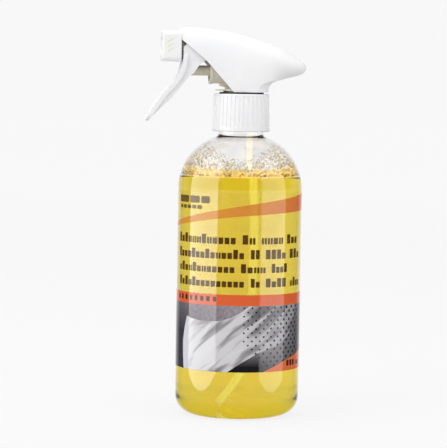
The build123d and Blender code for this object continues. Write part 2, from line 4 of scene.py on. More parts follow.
import bmesh
import bpy
from mathutils import Matrix, Vector


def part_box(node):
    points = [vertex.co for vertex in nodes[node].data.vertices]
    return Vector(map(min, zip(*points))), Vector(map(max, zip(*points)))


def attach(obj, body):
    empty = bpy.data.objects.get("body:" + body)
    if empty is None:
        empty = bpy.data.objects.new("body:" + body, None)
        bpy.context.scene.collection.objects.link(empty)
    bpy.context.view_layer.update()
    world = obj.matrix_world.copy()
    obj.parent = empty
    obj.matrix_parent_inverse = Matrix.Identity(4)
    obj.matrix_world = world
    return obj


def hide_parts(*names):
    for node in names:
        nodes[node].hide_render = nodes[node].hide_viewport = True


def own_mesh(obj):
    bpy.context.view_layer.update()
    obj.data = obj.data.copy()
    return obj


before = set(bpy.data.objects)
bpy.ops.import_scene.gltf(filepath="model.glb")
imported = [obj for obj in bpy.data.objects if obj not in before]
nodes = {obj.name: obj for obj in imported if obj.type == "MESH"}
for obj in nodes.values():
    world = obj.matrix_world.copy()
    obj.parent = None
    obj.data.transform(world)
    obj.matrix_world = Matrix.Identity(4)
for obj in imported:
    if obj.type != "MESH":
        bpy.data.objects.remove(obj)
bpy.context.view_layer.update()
scene = bpy.context.scene

MM = 0.001
random.seed(11)

# ---- sizes shared with the CAD, in millimetres ----------------------------------------------------
BODY_R, WALL, HEEL_R, PUSH_UP, RING_R = 35.4, 0.8, 11.0, 4.5, 20.0
SHOULDER_Z, SHOULDER_R = 130.0, 31.0
NECK_R, NECK_BORE_R, FINISH_TOP = 12.7, 10.85, 179.6
THREAD_Z, THREAD_PITCH, THREAD_TURNS, THREAD_DEPTH = 169.6, 4.233, 1.25, 1.05
FILL_Z = 137.0
LABEL_BOTTOM, LABEL_TOP = 28.0, 129.0
LABEL_IN, LABEL_OUT = 35.42, 35.57
LABEL_HALF_SPAN = 95.0
PRINT_R = 35.5  # radius that distances round the label are measured on

# ---- camera ----------------------------------------------------------------------------------------
CAMERA_AZIMUTH = -7.0
CAMERA_DISTANCE = 1.290
CAMERA_HEIGHT = 0.1926
CAMERA_YAW, CAMERA_PITCH, CAMERA_ROLL = 0.405, 3.70, 0.95
CAMERA_LENS = 180.7


# ---- mesh helpers ----------------------------------------------------------------------------------
def add_mesh(name, verts, faces, material, smooth=True, uvs=None):
    """Makes an object from points in millimetres."""
    mesh = bpy.data.meshes.new(name)
    mesh.from_pydata([(x * MM, y * MM, z * MM) for x, y, z in verts], [], faces)
    mesh.polygons.foreach_set("use_smooth", [smooth] * len(mesh.polygons))
    if uvs:
        layer = mesh.uv_layers.new(name="UVMap")
        for loop in mesh.loops:
            layer.data[loop.index].uv = uvs[loop.vertex_index]
    mesh.materials.append(material)
    mesh.update()
    obj = bpy.data.objects.new(name, mesh)
    scene.collection.objects.link(obj)
    return obj


def lathe(name, profile, material, segments=192, reshape=None):
    """Turns (radius, z) points about the bottle's axis. Points at radius 0 become one vertex."""
    verts, rows = [], []
    for r, z in profile:
        if r < 1e-6:
            rows.append([len(verts)])
            verts.append((0.0, 0.0, z))
            continue
        row = []
        for i in range(segments):
            angle = 2 * math.pi * i / segments
            radius = reshape(r, z, angle) if reshape else r
            row.append(len(verts))
            verts.append((radius * math.cos(angle), radius * math.sin(angle), z))
        rows.append(row)
    faces = []
    for a, b in zip(rows, rows[1:]):
        for i in range(segments):
            j = (i + 1) % segments
            if len(a) == 1:
                faces.append((a[0], b[j], b[i]))
            elif len(b) == 1:
                faces.append((a[i], a[j], b[0]))
            else:
                faces.append((a[i], a[j], b[j], b[i]))
    return add_mesh(name, verts, faces, material)


def arc(cx, cz, r, start, end, steps):
    """Points on an arc, with angles in degrees."""
    points = []
    for i in range(steps + 1):
        angle = math.radians(start + (end - start) * i / steps)
        points.append((cx + r * math.cos(angle), cz + r * math.sin(angle)))
    return points


def bezier(a, b, c, steps):
    """Points on a quadratic curve from a to c that heads for b."""
    points = []
    for i in range(steps + 1):
        t = i / steps
        points.append(tuple((1 - t) ** 2 * p + 2 * t * (1 - t) * q + t * t * w for p, q, w in zip(a, b, c)))
    return points


def body_profile(offset, neck_r, top):
    """The bottle's outline from the middle of the base to the top of the neck, moved in by offset."""
    heel_x, shoulder_x = BODY_R - HEEL_R, BODY_R - SHOULDER_R
    shoulder_r = SHOULDER_R - offset
    neck_angle = math.degrees(math.acos((neck_r - shoulder_x) / shoulder_r))
    dome = []
    for i in range(17):
        r = RING_R * i / 16
        dome.append((r, offset + PUSH_UP * (1 - (r / RING_R) ** 2)))
    shoulder = arc(shoulder_x, SHOULDER_Z, shoulder_r, 0, neck_angle - 3.2, 40)
    foot_z = SHOULDER_Z + shoulder_r * math.sin(math.radians(neck_angle))
    foot = bezier(shoulder[-1], (neck_r, foot_z), (neck_r, foot_z + 1.7), 8)
    points = dome + arc(heel_x, HEEL_R, HEEL_R - offset, 270, 360, 20)
    points += [(BODY_R - offset, z) for z in range(15, 130, 5)]
    points += shoulder + foot[1:]
    z = foot_z + 2.0
    while z < top - 0.25:
        points.append((neck_r, z))
        z += 0.25
    points.append((neck_r, top))
    return points


def neck_thread(r, z, angle):
    """Raises the bottle's screw thread out of the neck wall."""
    if abs(r - NECK_R) > 0.01 or z < THREAD_Z - 2:
        return r
    for turn in (0, 1):
        along = angle / (2 * math.pi) + turn
        if along > THREAD_TURNS:
            continue
        off = abs(z - THREAD_Z - THREAD_PITCH * along)
        if off < 1.0:
            return r + THREAD_DEPTH * min(1.0, (1.0 - off) / 0.5)
    return r


# ---- material helpers ------------------------------------------------------------------------------
def rgb(r, g, b):
    """A display colour, 0 to 255, as a linear one."""
    linear = []
    for c in (r, g, b):
        c /= 255
        linear.append(c / 12.92 if c <= 0.04045 else ((c + 0.055) / 1.055) ** 2.4)
    return (*linear, 1.0)


class Paint:
    """Builds a material's node tree. Inputs are given by name, as a value or as another node's output."""

    def __init__(self, name):
        self.material = bpy.data.materials.new(name)
        self.material.use_nodes = True
        self.tree = self.material.node_tree
        self.tree.nodes.clear()
        self.output = self.tree.nodes.new("ShaderNodeOutputMaterial")

    def node(self, kind, settings=None, **inputs):
        made = self.tree.nodes.new("ShaderNode" + kind)
        for key, value in (settings or {}).items():
            setattr(made, key, value)
        for key, value in inputs.items():
            socket = made.inputs[int(key[1:])] if key[0] == "i" and key[1:].isdigit() else None
            socket = socket or made.inputs[key.replace("_", " ")]
            if isinstance(value, bpy.types.NodeSocket):
                self.tree.links.new(value, socket)
            else:
                socket.default_value = value
        return made

    def math(self, operation, a, b=0.0, c=0.0):
        return self.node("Math", {"operation": operation}, i0=a, i1=b, i2=c).outputs[0]

    def noise(self, scale, detail=3.0, roughness=0.5, vector=None, distortion=0.0):
        vector = vector or self.node("TexCoord").outputs["Object"]
        made = self.node("TexNoise", Vector=vector, Scale=scale, Detail=detail, Roughness=roughness)
        made.inputs["Distortion"].default_value = distortion
        return made.outputs["Fac"]

    def ramp(self, fac, stops, interpolation="LINEAR"):
        made = self.node("ValToRGB", Fac=fac)
        ramp = made.color_ramp
        ramp.interpolation = interpolation
        while len(ramp.elements) < len(stops):
            ramp.elements.new(0.5)
        for element, (position, color) in zip(ramp.elements, stops):
            element.position = position
            element.color = color if len(color) == 4 else (*color, 1)
        return made.outputs["Color"]

    def mix(self, fac, a, b, blend="MIX"):
        made = self.node("Mix", {"data_type": "RGBA", "blend_type": blend})
        for index, value in ((0, fac), (6, a), (7, b)):
            if isinstance(value, bpy.types.NodeSocket):
                self.tree.links.new(value, made.inputs[index])
            else:
                made.inputs[index].default_value = value
        return made.outputs[2]

    def span(self, value, low, high):
        """0 below low and 1 above high, straight in between."""
        return self.node("MapRange", Value=value, From_Min=low, From_Max=high).outputs[0]

    def bump(self, height, strength, distance=0.0002):
        return self.node("Bump", Height=height, Strength=strength, Distance=distance).outputs[0]

    def outer_fresnel(self, ior, **inputs):
        """Fresnel reflection on faces seen from outside, and none from within."""
        fresnel = self.node("Fresnel", IOR=ior, **inputs).outputs[0]
        front = self.math("SUBTRACT", 1.0, self.node("NewGeometry").outputs["Backfacing"])
        return self.math("MULTIPLY", fresnel, front)

    def surface(self, shader):
        self.tree.links.new(shader, self.output.inputs["Surface"])

    def volume(self, shader):
        self.tree.links.new(shader, self.output.inputs["Volume"])


def moulded_plastic(name, color, shade, roughness, grain=1400, bump=0.10, specular=0.5):
    """Injection-moulded plastic: soft cloudiness, a fine skin texture and uneven gloss."""
    paint = Paint(name)
    cloud = paint.noise(38, 3)
    base = paint.mix(paint.span(cloud, 0.35, 0.7), color, shade)
    skin = paint.noise(grain, 2, 0.6)
    flow = paint.noise(140, 2, 0.5, distortion=0.6)
    rough = paint.math("MULTIPLY_ADD", flow, 0.14, roughness - 0.07)
    height = paint.math("MULTIPLY_ADD", flow, 0.8, skin)
    shader = paint.node(
        "BsdfPrincipled", Base_Color=base, Roughness=rough, Normal=paint.bump(height, bump), IOR=1.49
    )
    shader.inputs["Specular IOR Level"].default_value = specular
    paint.surface(shader.outputs[0])
    return paint.material


def clear_pet():
    """Blow-moulded PET: clear, with a slow waviness from blowing."""
    paint = Paint("clear_pet")
    wave = paint.noise(55, 2, 0.45)
    shader = paint.node(
        "BsdfPrincipled",
        Base_Color=(0.985, 0.985, 0.99, 1),
        Roughness=0.01,
        IOR=1.5,
        Transmission_Weight=1.0,
        Normal=paint.bump(wave, 0.05, 0.0004),
    )
    paint.surface(shader.outputs[0])
    return paint.material


def yellow_liquid():
    """A clear yellow liquid that darkens with depth."""
    paint = Paint("yellow_liquid")
    ripple = paint.noise(60, 2, 0.5)
    shader = paint.node(
        "BsdfPrincipled",
        Base_Color=(1, 1, 1, 1),
        Roughness=0.0,
        IOR=1.35,
        Transmission_Weight=1.0,
        Normal=paint.bump(ripple, 0.04, 0.0004),
    )
    paint.surface(shader.outputs[0])
    absorb = paint.node("VolumeAbsorption", Color=(0.965, 0.895, 0.0, 1), Density=66.0)
    paint.volume(absorb.outputs[0])
    return paint.material


def label_film():
    """The label's clear film: only its gloss shows."""
    paint = Paint("label_film")
    wave = paint.noise(60, 2, 0.5)
    normal = paint.bump(wave, 0.04, 0.0004)
    clear = paint.node("BsdfTransparent", Color=(0.985, 0.985, 0.98, 1))
    gloss = paint.node("BsdfGlossy", Color=(1, 1, 1, 1), Roughness=0.04, Normal=normal)
    fresnel = paint.outer_fresnel(1.3, Normal=normal)
    mixed = paint.node("MixShader", Fac=fresnel, i1=clear.outputs[0], i2=gloss.outputs[0])
    paint.surface(mixed.outputs[0])
    return paint.material


def ink(name, color, alpha=1.0, speckle=0.012):
    """Printing ink on the film: slightly uneven, under the film's gloss."""
    paint = Paint(name)
    grain = paint.noise(2600, 2)
    base = paint.mix(paint.math("MULTIPLY", grain, speckle), color, (1, 1, 1, 1))
    coat = paint.node("BsdfPrincipled", Base_Color=base, Roughness=0.08, Alpha=alpha, IOR=1.5)
    paint.surface(coat.outputs[0])
    return paint.material


# ---- materials -------------------------------------------------------------------------------------
WHITE = moulded_plastic("white_plastic", rgb(247, 247, 248), rgb(243, 243, 245), 0.42, specular=0.3)
WHITE_TRIGGER = moulded_plastic("white_trigger", rgb(247, 247, 248), rgb(243, 243, 245), 0.60, specular=0.12)
WHITE_COLLAR = moulded_plastic(
    "white_collar", rgb(247, 247, 248), rgb(243, 243, 245), 0.45, grain=1900, specular=0.35
)
NOZZLE_WHITE = moulded_plastic("nozzle_white", rgb(247, 247, 247), rgb(243, 243, 243), 0.40, specular=0.3)
CREAM = moulded_plastic("cream_plastic", rgb(234, 229, 212), rgb(226, 220, 202), 0.40)
CREAM_ROD = moulded_plastic("cream_rod", rgb(228, 220, 202), rgb(218, 209, 190), 0.36)
# painted shadow: the retaining ring is coloured black to stand in for the shade in the gap between the
# shroud's foot and the collar
GAP_SHADOW_BLACK = moulded_plastic("black_plastic", rgb(22, 22, 24), rgb(30, 30, 32), 0.42)
RUBBER = moulded_plastic("seal_rubber", rgb(60, 60, 62), rgb(74, 73, 74), 0.62, grain=2400, bump=0.2)
CUP = moulded_plastic("soft_cup", rgb(232, 228, 214), rgb(222, 217, 200), 0.5, grain=2000)
GASKET = moulded_plastic("gasket_foam", rgb(238, 236, 230), rgb(226, 224, 216), 0.7, grain=2600, bump=0.35)
PET = clear_pet()
LIQUID = yellow_liquid()
FILM = label_film()


PAINTED_INNER_GLOW = 0.42  # strength of a painted glow on the pieces inside the bottle, standing in for the light that the bottle gathers on them


def milky_tube():
    """Polyethylene tube: pale and see-through at its middle, denser where the wall is seen on edge."""
    paint = Paint("tube_plastic")
    haze = paint.noise(300, 2)
    base = paint.mix(haze, rgb(250, 249, 238), rgb(243, 242, 228))
    diffuse = paint.node("BsdfDiffuse", Color=base)
    through = paint.node("BsdfTranslucent", Color=base)
    clear = paint.node("BsdfTransparent", Color=(1, 1, 1, 1))
    gloss = paint.node("BsdfGlossy", Color=(1, 1, 1, 1), Roughness=0.2)
    body = paint.node("MixShader", Fac=0.5, i1=diffuse.outputs[0], i2=through.outputs[0])
    # painted glow: the tube gives off its own light, standing in for light gathered inside the bottle
    painted_glow = paint.node("Emission", Color=base, Strength=1.25 * PAINTED_INNER_GLOW)
    body = paint.node("AddShader", i0=body.outputs[0], i1=painted_glow.outputs[0])
    edge = paint.node("LayerWeight", Blend=0.35)
    fac = paint.math("MULTIPLY_ADD", edge.outputs["Facing"], 0.45, 0.34)
    mixed = paint.node("MixShader", Fac=fac, i1=clear.outputs[0], i2=body.outputs[0])
    shine = paint.outer_fresnel(1.2)
    final = paint.node("MixShader", Fac=shine, i1=mixed.outputs[0], i2=gloss.outputs[0])
    paint.surface(final.outputs[0])
    return paint.material


def glass_ball():
    paint = Paint("ball_glass")
    cloud = paint.noise(500, 2)
    shader = paint.node(
        "BsdfPrincipled",
        Base_Color=(0.85, 0.93, 0.90, 1),
        Roughness=paint.math("MULTIPLY", cloud, 0.1),
        IOR=1.52,
        Transmission_Weight=1.0,
    )
    paint.surface(shader.outputs[0])
    return paint.material


def spring_steel():
    """Drawn stainless wire with fine die marks along it."""
    paint = Paint("spring_steel")
    lines = paint.noise(5200, 2, 0.7)
    rough = paint.math("MULTIPLY_ADD", lines, 0.2, 0.18)
    shader = paint.node(
        "BsdfPrincipled",
        Base_Color=rgb(196, 196, 200),
        Metallic=1.0,
        Roughness=rough,
        Normal=paint.bump(lines, 0.15, 0.00005),
    )
    paint.surface(shader.outputs[0])
    return paint.material


def droplet():
    paint = Paint("droplets")
    wobble = paint.noise(1800, 1)
    shader = paint.node(
        "BsdfPrincipled",
        Base_Color=paint.mix(paint.noise(260, 2), rgb(250, 247, 236), rgb(232, 216, 172)),
        Roughness=0.03,
        IOR=1.33,
        Transmission_Weight=1.0,
        Normal=paint.bump(wobble, 0.1),
    )
    paint.surface(shader.outputs[0])
    return paint.material


def bubble_skin():
    """Foam: nearly clear in the middle of a bubble, white and shiny round its rim."""
    paint = Paint("foam")
    tint = paint.mix(paint.noise(700, 2), rgb(255, 238, 150), rgb(250, 208, 60))
    facing = paint.node("LayerWeight", Blend=0.5).outputs["Facing"]
    clear = paint.node("BsdfTransparent", Color=(1, 1, 1, 1))
    white = paint.node("BsdfTranslucent", Color=tint)
    gloss = paint.node("BsdfGlossy", Color=(1, 1, 1, 1), Roughness=0.12)
    # painted glow: the foam gives off its own light, standing in for light gathered inside the bottle
    painted_glow = paint.node("Emission", Color=tint, Strength=1.9 * PAINTED_INNER_GLOW)
    white = paint.node("AddShader", i0=white.outputs[0], i1=painted_glow.outputs[0])
    skin = paint.node("MixShader", Fac=0.35, i1=white.outputs[0], i2=gloss.outputs[0])
    fac = paint.math("MULTIPLY_ADD", facing, 0.75, 0.10)
    mixed = paint.node("MixShader", Fac=fac, i1=clear.outputs[0], i2=skin.outputs[0])
    paint.surface(mixed.outputs[0])
    return paint.material


def dress(node, material):
    """Gives a CAD node its material."""
    slots = nodes[node].data.materials
    slots.clear()
    slots.append(material)


FINISHES = {
    "closure_collar": WHITE_COLLAR,
    "neck_gasket": GASKET,
    # the retaining ring, painted black as the shadow in the gap under the shroud
    "collar_retainer": GAP_SHADOW_BLACK,
    "pump_body": CREAM,
    "inlet_fitting": CREAM_ROD,
    "inlet_ball": glass_ball(),
    "outlet_ball": glass_ball(),
    "column_plug": CREAM_ROD,
    "dip_tube": milky_tube(),
    "piston_rod": CREAM_ROD,
    "piston_cup": CUP,
    "swirl_spinner": CREAM,
    "nozzle_seal": RUBBER,
    "nozzle_cap": NOZZLE_WHITE,
    "trigger": WHITE_TRIGGER,
    "shroud": WHITE,
}
for name, material in FINISHES.items():
    dress(name, material)


# ---- bottle and liquid -----------------------------------------------------------------------------
def build_bottle():
    outer = body_profile(0, NECK_R, FINISH_TOP - 0.4)
    inner = body_profile(WALL, NECK_BORE_R, FINISH_TOP - 0.4)
    lip = bezier((NECK_R, FINISH_TOP - 0.4), (NECK_R, FINISH_TOP), (NECK_R - 0.4, FINISH_TOP), 4)[1:]
    lip += bezier(
        (NECK_BORE_R + 0.4, FINISH_TOP), (NECK_BORE_R, FINISH_TOP), (NECK_BORE_R, FINISH_TOP - 0.4), 4
    )
    bottle = lathe("bottle_clear", outer + lip + inner[::-1][1:], PET, reshape=neck_thread)
    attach(bottle, "bottle")
    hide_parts("bottle")


def build_liquid():
    """Reaches a little into the wall, so that no gap of air shows, and climbs the wall at its edge."""
    sunk = 0.25
    profile = [p for p in body_profile(WALL - sunk, NECK_BORE_R, 165) if p[1] <= FILL_Z + 0.5 and p[0] > 0]
    profile = [(0.0, PUSH_UP + WALL - sunk)] + profile
    edge_r = profile[-1][0]
    for i in range(1, 25):
        r = edge_r * (1 - i / 24) ** 1.6
        rise = 1.3 * math.exp(-(edge_r - r) / 1.1)
        profile.append((r, FILL_Z + rise) if r > 1e-6 else (0.0, FILL_Z))
    liquid = lathe("liquid_clear", profile, LIQUID)
    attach(liquid, "bottle")
    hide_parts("liquid")


build_bottle()
build_liquid()


# ---- foam and droplets -----------------------------------------------------------------------------
def ball_cloud(name, balls, material):
    """One mesh of many small balls: (centre, radius), in millimetres."""
    template = bmesh.new()
    bmesh.ops.create_icosphere(template, subdivisions=2, radius=1.0)
    points = [v.co.copy() for v in template.verts]
    tris = [[v.index for v in f.verts] for f in template.faces]
    template.free()
    verts, faces = [], []
    for (x, y, z), r in balls:
        start = len(verts)
        verts += [(x + r * p.x, y + r * p.y, z + r * p.z) for p in points]
        faces += [[start + i for i in tri] for tri in tris]
    return add_mesh(name, verts, faces, material)


def inner_radius(z, gap):
    """Radius of the bottle's inside at a height, less a gap."""
    if z <= SHOULDER_Z:
        return BODY_R - WALL - gap
    return BODY_R - SHOULDER_R + math.sqrt((SHOULDER_R - WALL - gap) ** 2 - (z - SHOULDER_Z) ** 2)


def side_share(angle):
    """0 towards and away from the camera, 1 at the bottle's two sides."""
    return abs(math.cos(angle - math.radians(CAMERA_AZIMUTH)))


def wall_droplets():
    balls = []
    while len(balls) < 2600:
        angle = random.uniform(0, 2 * math.pi)
        climb = random.random() ** 1.7
        z = FILL_Z + 1 + climb * (7 + 12 * side_share(angle))
        size = random.choice((0.18, 0.25, 0.32, 0.42, 0.6)) * (1.1 - 0.45 * climb)
        r = inner_radius(z, 0.55 * size)
        balls.append(((r * math.cos(angle), r * math.sin(angle), z), size))
    return balls


def surface_foam():
    balls = []
    while len(balls) < 2600:
        angle = random.uniform(0, 2 * math.pi)
        edge = inner_radius(FILL_Z, 1.2)
        r = edge * (1 - 0.55 * random.random() ** 1.6)
        pile = 1.6 + 2.6 * side_share(angle) ** 2
        z = FILL_Z + 0.2 + random.random() ** 1.5 * pile * (r / edge) ** 4 * 1.4
        size = random.choice((0.28, 0.36, 0.48, 0.65, 0.9))
        balls.append(((r * math.cos(angle), r * math.sin(angle), z), size))
    return balls


for name, balls, material in (
    ("wall_droplets", wall_droplets(), droplet()),
    ("surface_foam", surface_foam(), bubble_skin()),
):
    cloud = ball_cloud(name, balls, material)
    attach(cloud, "bottle")


# ---- label -----------------------------------------------------------------------------------------
def build_film():
    steps = 120
    verts, faces = [], []
    for i in range(steps + 1):
        angle = math.radians(-90 - LABEL_HALF_SPAN + 2 * LABEL_HALF_SPAN * i / steps)
        for r, z in (
            (LABEL_IN, LABEL_BOTTOM),
            (LABEL_OUT, LABEL_BOTTOM),
            (LABEL_OUT, LABEL_TOP),
            (LABEL_IN, LABEL_TOP),
        ):
            verts.append((r * math.cos(angle), r * math.sin(angle), z))
    for i in range(steps):
        a, b = 4 * i, 4 * i + 4
        for k in range(4):
            m = (k + 1) % 4
            faces.append((a + k, b + k, b + m, a + m))
    faces.append((0, 1, 2, 3))
    last = 4 * steps
    faces.append((last + 3, last + 2, last + 1, last))
    film = add_mesh("label_film", verts, faces, FILM, smooth=False)
    film.data.polygons.foreach_set("use_smooth", [len(p.vertices) == 4 for p in film.data.polygons])
    for edge in film.data.edges:
        edge.use_edge_sharp = abs(edge.vertices[0] - edge.vertices[1]) == 4
    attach(film, "bottle")
    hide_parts("label")


def print_on(name, outlines, layer, material, cut=1.5):
    """Wraps flat outlines, (distance round the label from the camera side, height), on the film."""
    flat = bmesh.new()
    for outline in outlines:
        flat.faces.new([flat.verts.new((s, z, 0)) for s, z in outline])
    low = min(s for outline in outlines for s, z in outline)
    high = max(s for outline in outlines for s, z in outline)
    s = math.ceil(low / cut) * cut
    while s < high:
        geometry = flat.verts[:] + flat.edges[:] + flat.faces[:]
        bmesh.ops.bisect_plane(flat, geom=geometry, dist=1e-5, plane_co=(s, 0, 0), plane_no=(1, 0, 0))
        s += cut
    bmesh.ops.triangulate(flat, faces=flat.faces[:])
    radius = LABEL_OUT + 0.012 * layer
    verts, uvs = [], []
    flat.verts.index_update()
    for vertex in flat.verts:
        angle = math.radians(CAMERA_AZIMUTH - 90) + vertex.co.x / PRINT_R
        verts.append((radius * math.cos(angle), radius * math.sin(angle), vertex.co.y))
        uvs.append((vertex.co.x, vertex.co.y))
    faces = [[v.index for v in face.verts] for face in flat.faces]
    flat.free()
    decal = add_mesh(name, verts, faces, material, uvs=uvs)
    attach(decal, "bottle")
    return decal


def block(s0, z0, s1, z1, r=0.35):
    """A rounded rectangle."""
    r = min(r, (s1 - s0) / 2.2, (z1 - z0) / 2.2)
    outline = []
    left, right, low, high = s0 + r, s1 - r, z0 + r, z1 - r
    for cx, cz, start in ((right, low, 270), (right, high, 0), (left, high, 90), (left, low, 180)):
        outline += arc(cx, cz, r, start, start + 90, 3)
    return outline


def greeked_word(s0, s1, base, x_height, ascender):
    """A word drawn as plain upright blocks, with no letters in it."""
    blocks = []
    pitch = 3.4
    count = max(2, round((s1 - s0) / pitch))
    step = (s1 - s0) / count
    for i in range(count):
        left = s0 + i * step
        kind = random.choice(("low", "low", "low", "tall", "twin"))
        if kind == "twin":
            blocks.append(block(left, base, left + 0.36 * step, x_height))
            blocks.append(block(left + 0.48 * step, base, left + 0.84 * step, x_height))
        else:
            top = ascender if kind == "tall" or i == 0 else x_height
            blocks.append(block(left, base, left + 0.78 * step, top))
    return blocks


TEXT_LINES = (
    (100.1, 103.8, 105.4, ((-43.6, -1.1), (2.0, 9.9), (13.0, 28.0), (30.7, 42.0))),
    (91.8, 95.3, 97.1, ((-43.3, 3.6), (6.8, 12.5), (15.7, 30.5), (33.5, 45.4))),
    (84.0, 87.3, 89.1, ((-42.8, -1.6), (1.3, 16.2), (19.6, 31.6))),
    (75.9, 79.2, 80.9, ((-42.5, 3.8), (7.0, 12.8), (16.0, 31.0), (34.0, 46.5))),
)
LABEL_LEFT, LABEL_RIGHT = -54.0, 62.6
BAND_BOTTOM, BAND_TOP = 65.5, 71.7


def build_text():
    blocks = []
    for base, x_height, ascender, words in TEXT_LINES:
        for s0, s1 in words:
            blocks += greeked_word(s0, s1, base, x_height, ascender)
    print_on("print_lines", blocks, 2, ink("ink_brown", rgb(66, 30, 8), 0.95))
    bars = [block(-43.7, 122.6, -33.2, 126.6, 0.8), block(-32.0, 122.6, -24.4, 126.6, 0.8)]
    bars.append(block(-23.2, 122.6, -17.5, 126.6, 0.8))
    small = [block(-42.9 + 4.2 * i, 119.2, -42.9 + 4.2 * i + 3.3, 121.3, 0.5) for i in range(5)]
    print_on("print_heading", bars + small, 2, ink("ink_heading", rgb(74, 36, 18), 0.86))
    marks = [block(-43.6 + 4.15 * i, 67.5, -43.6 + 4.15 * i + 2.1, 70.4, 0.4) for i in range(8)]
    print_on("print_grade", marks, 3, ink("ink_grade", rgb(62, 24, 10), 0.9))


def on_curve(t, a, b, c, d):
    """A Catmull-Rom curve's value between b and c."""
    return 0.5 * (2 * b + (c - a) * t + (2 * a - 5 * b + 4 * c - d) * t * t + (3 * b - a - 3 * c + d) * t**3)


def swoosh_edge(points, steps=14):
    """A smooth line through label points."""
    smooth = []
    padded = [points[0]] + list(points) + [points[-1]]
    for p0, p1, p2, p3 in zip(padded, padded[1:], padded[2:], padded[3:]):
        for i in range(steps):
            smooth.append(tuple(on_curve(i / steps, *four) for four in zip(p0, p1, p2, p3)))
    return smooth + [points[-1]]


def swoosh_ink():
    """Translucent orange that reddens and thickens to the right."""
    paint = Paint("ink_swoosh")
    s = paint.node("SeparateXYZ", Vector=paint.node("TexCoord").outputs["UV"]).outputs["X"]
    along = paint.span(s, -48, 50)
    stops = ((0.0, rgb(226, 120, 30)), (0.55, rgb(214, 112, 28)), (1.0, rgb(226, 78, 22)))
    color = paint.ramp(along, stops)
    alpha = paint.math("MULTIPLY_ADD", along, 0.22, 0.66)
    grain = paint.noise(2400, 2)
    base = paint.mix(paint.math("MULTIPLY", grain, 0.08), color, (1, 1, 1, 1))
    shader = paint.node("BsdfPrincipled", Base_Color=base, Roughness=0.08, Alpha=alpha)
    paint.surface(shader.outputs[0])
    return paint.material


def build_swoosh():
    top = swoosh_edge(((-50.0, 111.0), (-13.8, 118.7), (12.5, 123.3), (49.6, 127.9), (62.6, 128.7)))
    bottom = swoosh_edge(((-50.0, 108.4), (-13.8, 114.0), (12.5, 116.6), (49.6, 118.4), (62.6, 118.8)))
    print_on("print_swoosh", [bottom + top[::-1]], 1, swoosh_ink())


def picture_ground():
    """The picture's soft grey ground: a dark left edge, a pale haze above, near black below the cloth."""
    paint = Paint("ink_picture")
    xyz = paint.node("SeparateXYZ", Vector=paint.node("TexCoord").outputs["UV"])
    s, z = xyz.outputs["X"], xyz.outputs["Y"]
    across = paint.ramp(
        paint.span(s, -54, 62),
        (
            (0.0, rgb(34, 34, 46)),
            (0.12, rgb(60, 58, 72)),
            (0.28, rgb(112, 104, 114)),
            (0.42, rgb(160, 150, 158)),
            (0.60, rgb(176, 172, 176)),
            (0.78, rgb(128, 126, 132)),
            (0.88, rgb(54, 54, 62)),
            (1.0, rgb(22, 22, 28)),
        ),
    )
    low = paint.math("MULTIPLY", paint.span(z, 46, 31), paint.span(s, -22, -4))
    fade = paint.math("SUBTRACT", 1.0, paint.math("MULTIPLY", paint.span(s, 12, 30), 0.55))
    dark = paint.math("MULTIPLY", low, fade)
    base = paint.mix(dark, across, rgb(26, 24, 28))
    lift = paint.math("MULTIPLY", paint.span(z, 50, 65), 0.35)
    base = paint.mix(lift, base, rgb(178, 168, 174))
    vector = paint.node("TexCoord").outputs["UV"]
    mottle = ((0.3, rgb(205, 205, 205)), (0.7, rgb(255, 255, 255)))
    grain = paint.ramp(paint.noise(0.5, 4, 0.6, vector), mottle)
    mottled = paint.mix(1.0, base, grain, "MULTIPLY")
    shader = paint.node("BsdfPrincipled", Base_Color=mottled, Roughness=0.08)
    paint.surface(shader.outputs[0])
    return paint.material


def cloth_picture():
    """A white cloth with soft grey folds running down to the left."""
    paint = Paint("ink_cloth")
    vector = paint.node("TexCoord").outputs["UV"]
    turned = paint.node("Mapping", Vector=vector, Rotation=(0, 0, math.radians(-38)))
    drawn = paint.node("Mapping", Vector=turned.outputs[0], Scale=(0.05, 0.30, 1))
    folds = paint.noise(0.62, 3, 0.45, drawn.outputs[0], 0.6)
    shade = paint.ramp(
        folds,
        (
            (0.30, rgb(92, 88, 92)),
            (0.42, rgb(160, 157, 160)),
            (0.52, rgb(218, 216, 219)),
            (1.0, rgb(236, 236, 238)),
        ),
    )
    s = paint.node("SeparateXYZ", Vector=vector).outputs["X"]
    hem = paint.span(s, -34, -22)
    base = paint.mix(hem, rgb(232, 232, 236), shade)
    away = paint.math("MULTIPLY", paint.span(s, 2, 38), 0.62)
    base = paint.mix(away, base, rgb(104, 102, 110))
    weave = paint.noise(7.0, 2, 0.6, vector)
    base = paint.mix(paint.math("MULTIPLY", weave, 0.16), base, rgb(120, 120, 126))
    shader = paint.node("BsdfPrincipled", Base_Color=base, Roughness=0.08)
    paint.surface(shader.outputs[0])
    return paint.material


CLOTH = (
    (-36.2, 28.1), (-37.2, 36.0), (-37.4, 43.6), (-36.0, 50.5), (-33.5, 58.3), (-29.5, 57.2), (-23.3, 56.5),
    (-16.0, 56.3), (-9.6, 56.9), (-4.1, 58.6), (2.8, 62.5), (6.4, 65.4), (40.5, 65.4), (38.0, 55.0),
    (33.0, 48.0), (24.3, 42.7), (18.0, 41.0), (11.6, 38.7), (3.0, 33.8), (-5.5, 28.1),
)


def across_label(low, high):
    """A strip over the whole printed width."""
    return [(LABEL_LEFT, low), (LABEL_RIGHT, low), (LABEL_RIGHT, high), (LABEL_LEFT, high)]


DOT_PITCH, DOT_ROWS, DOT_COLUMNS = 2.33, 16, 14
DOT_FIRST, DOT_TOP = (1.2, 29.3), 64.3


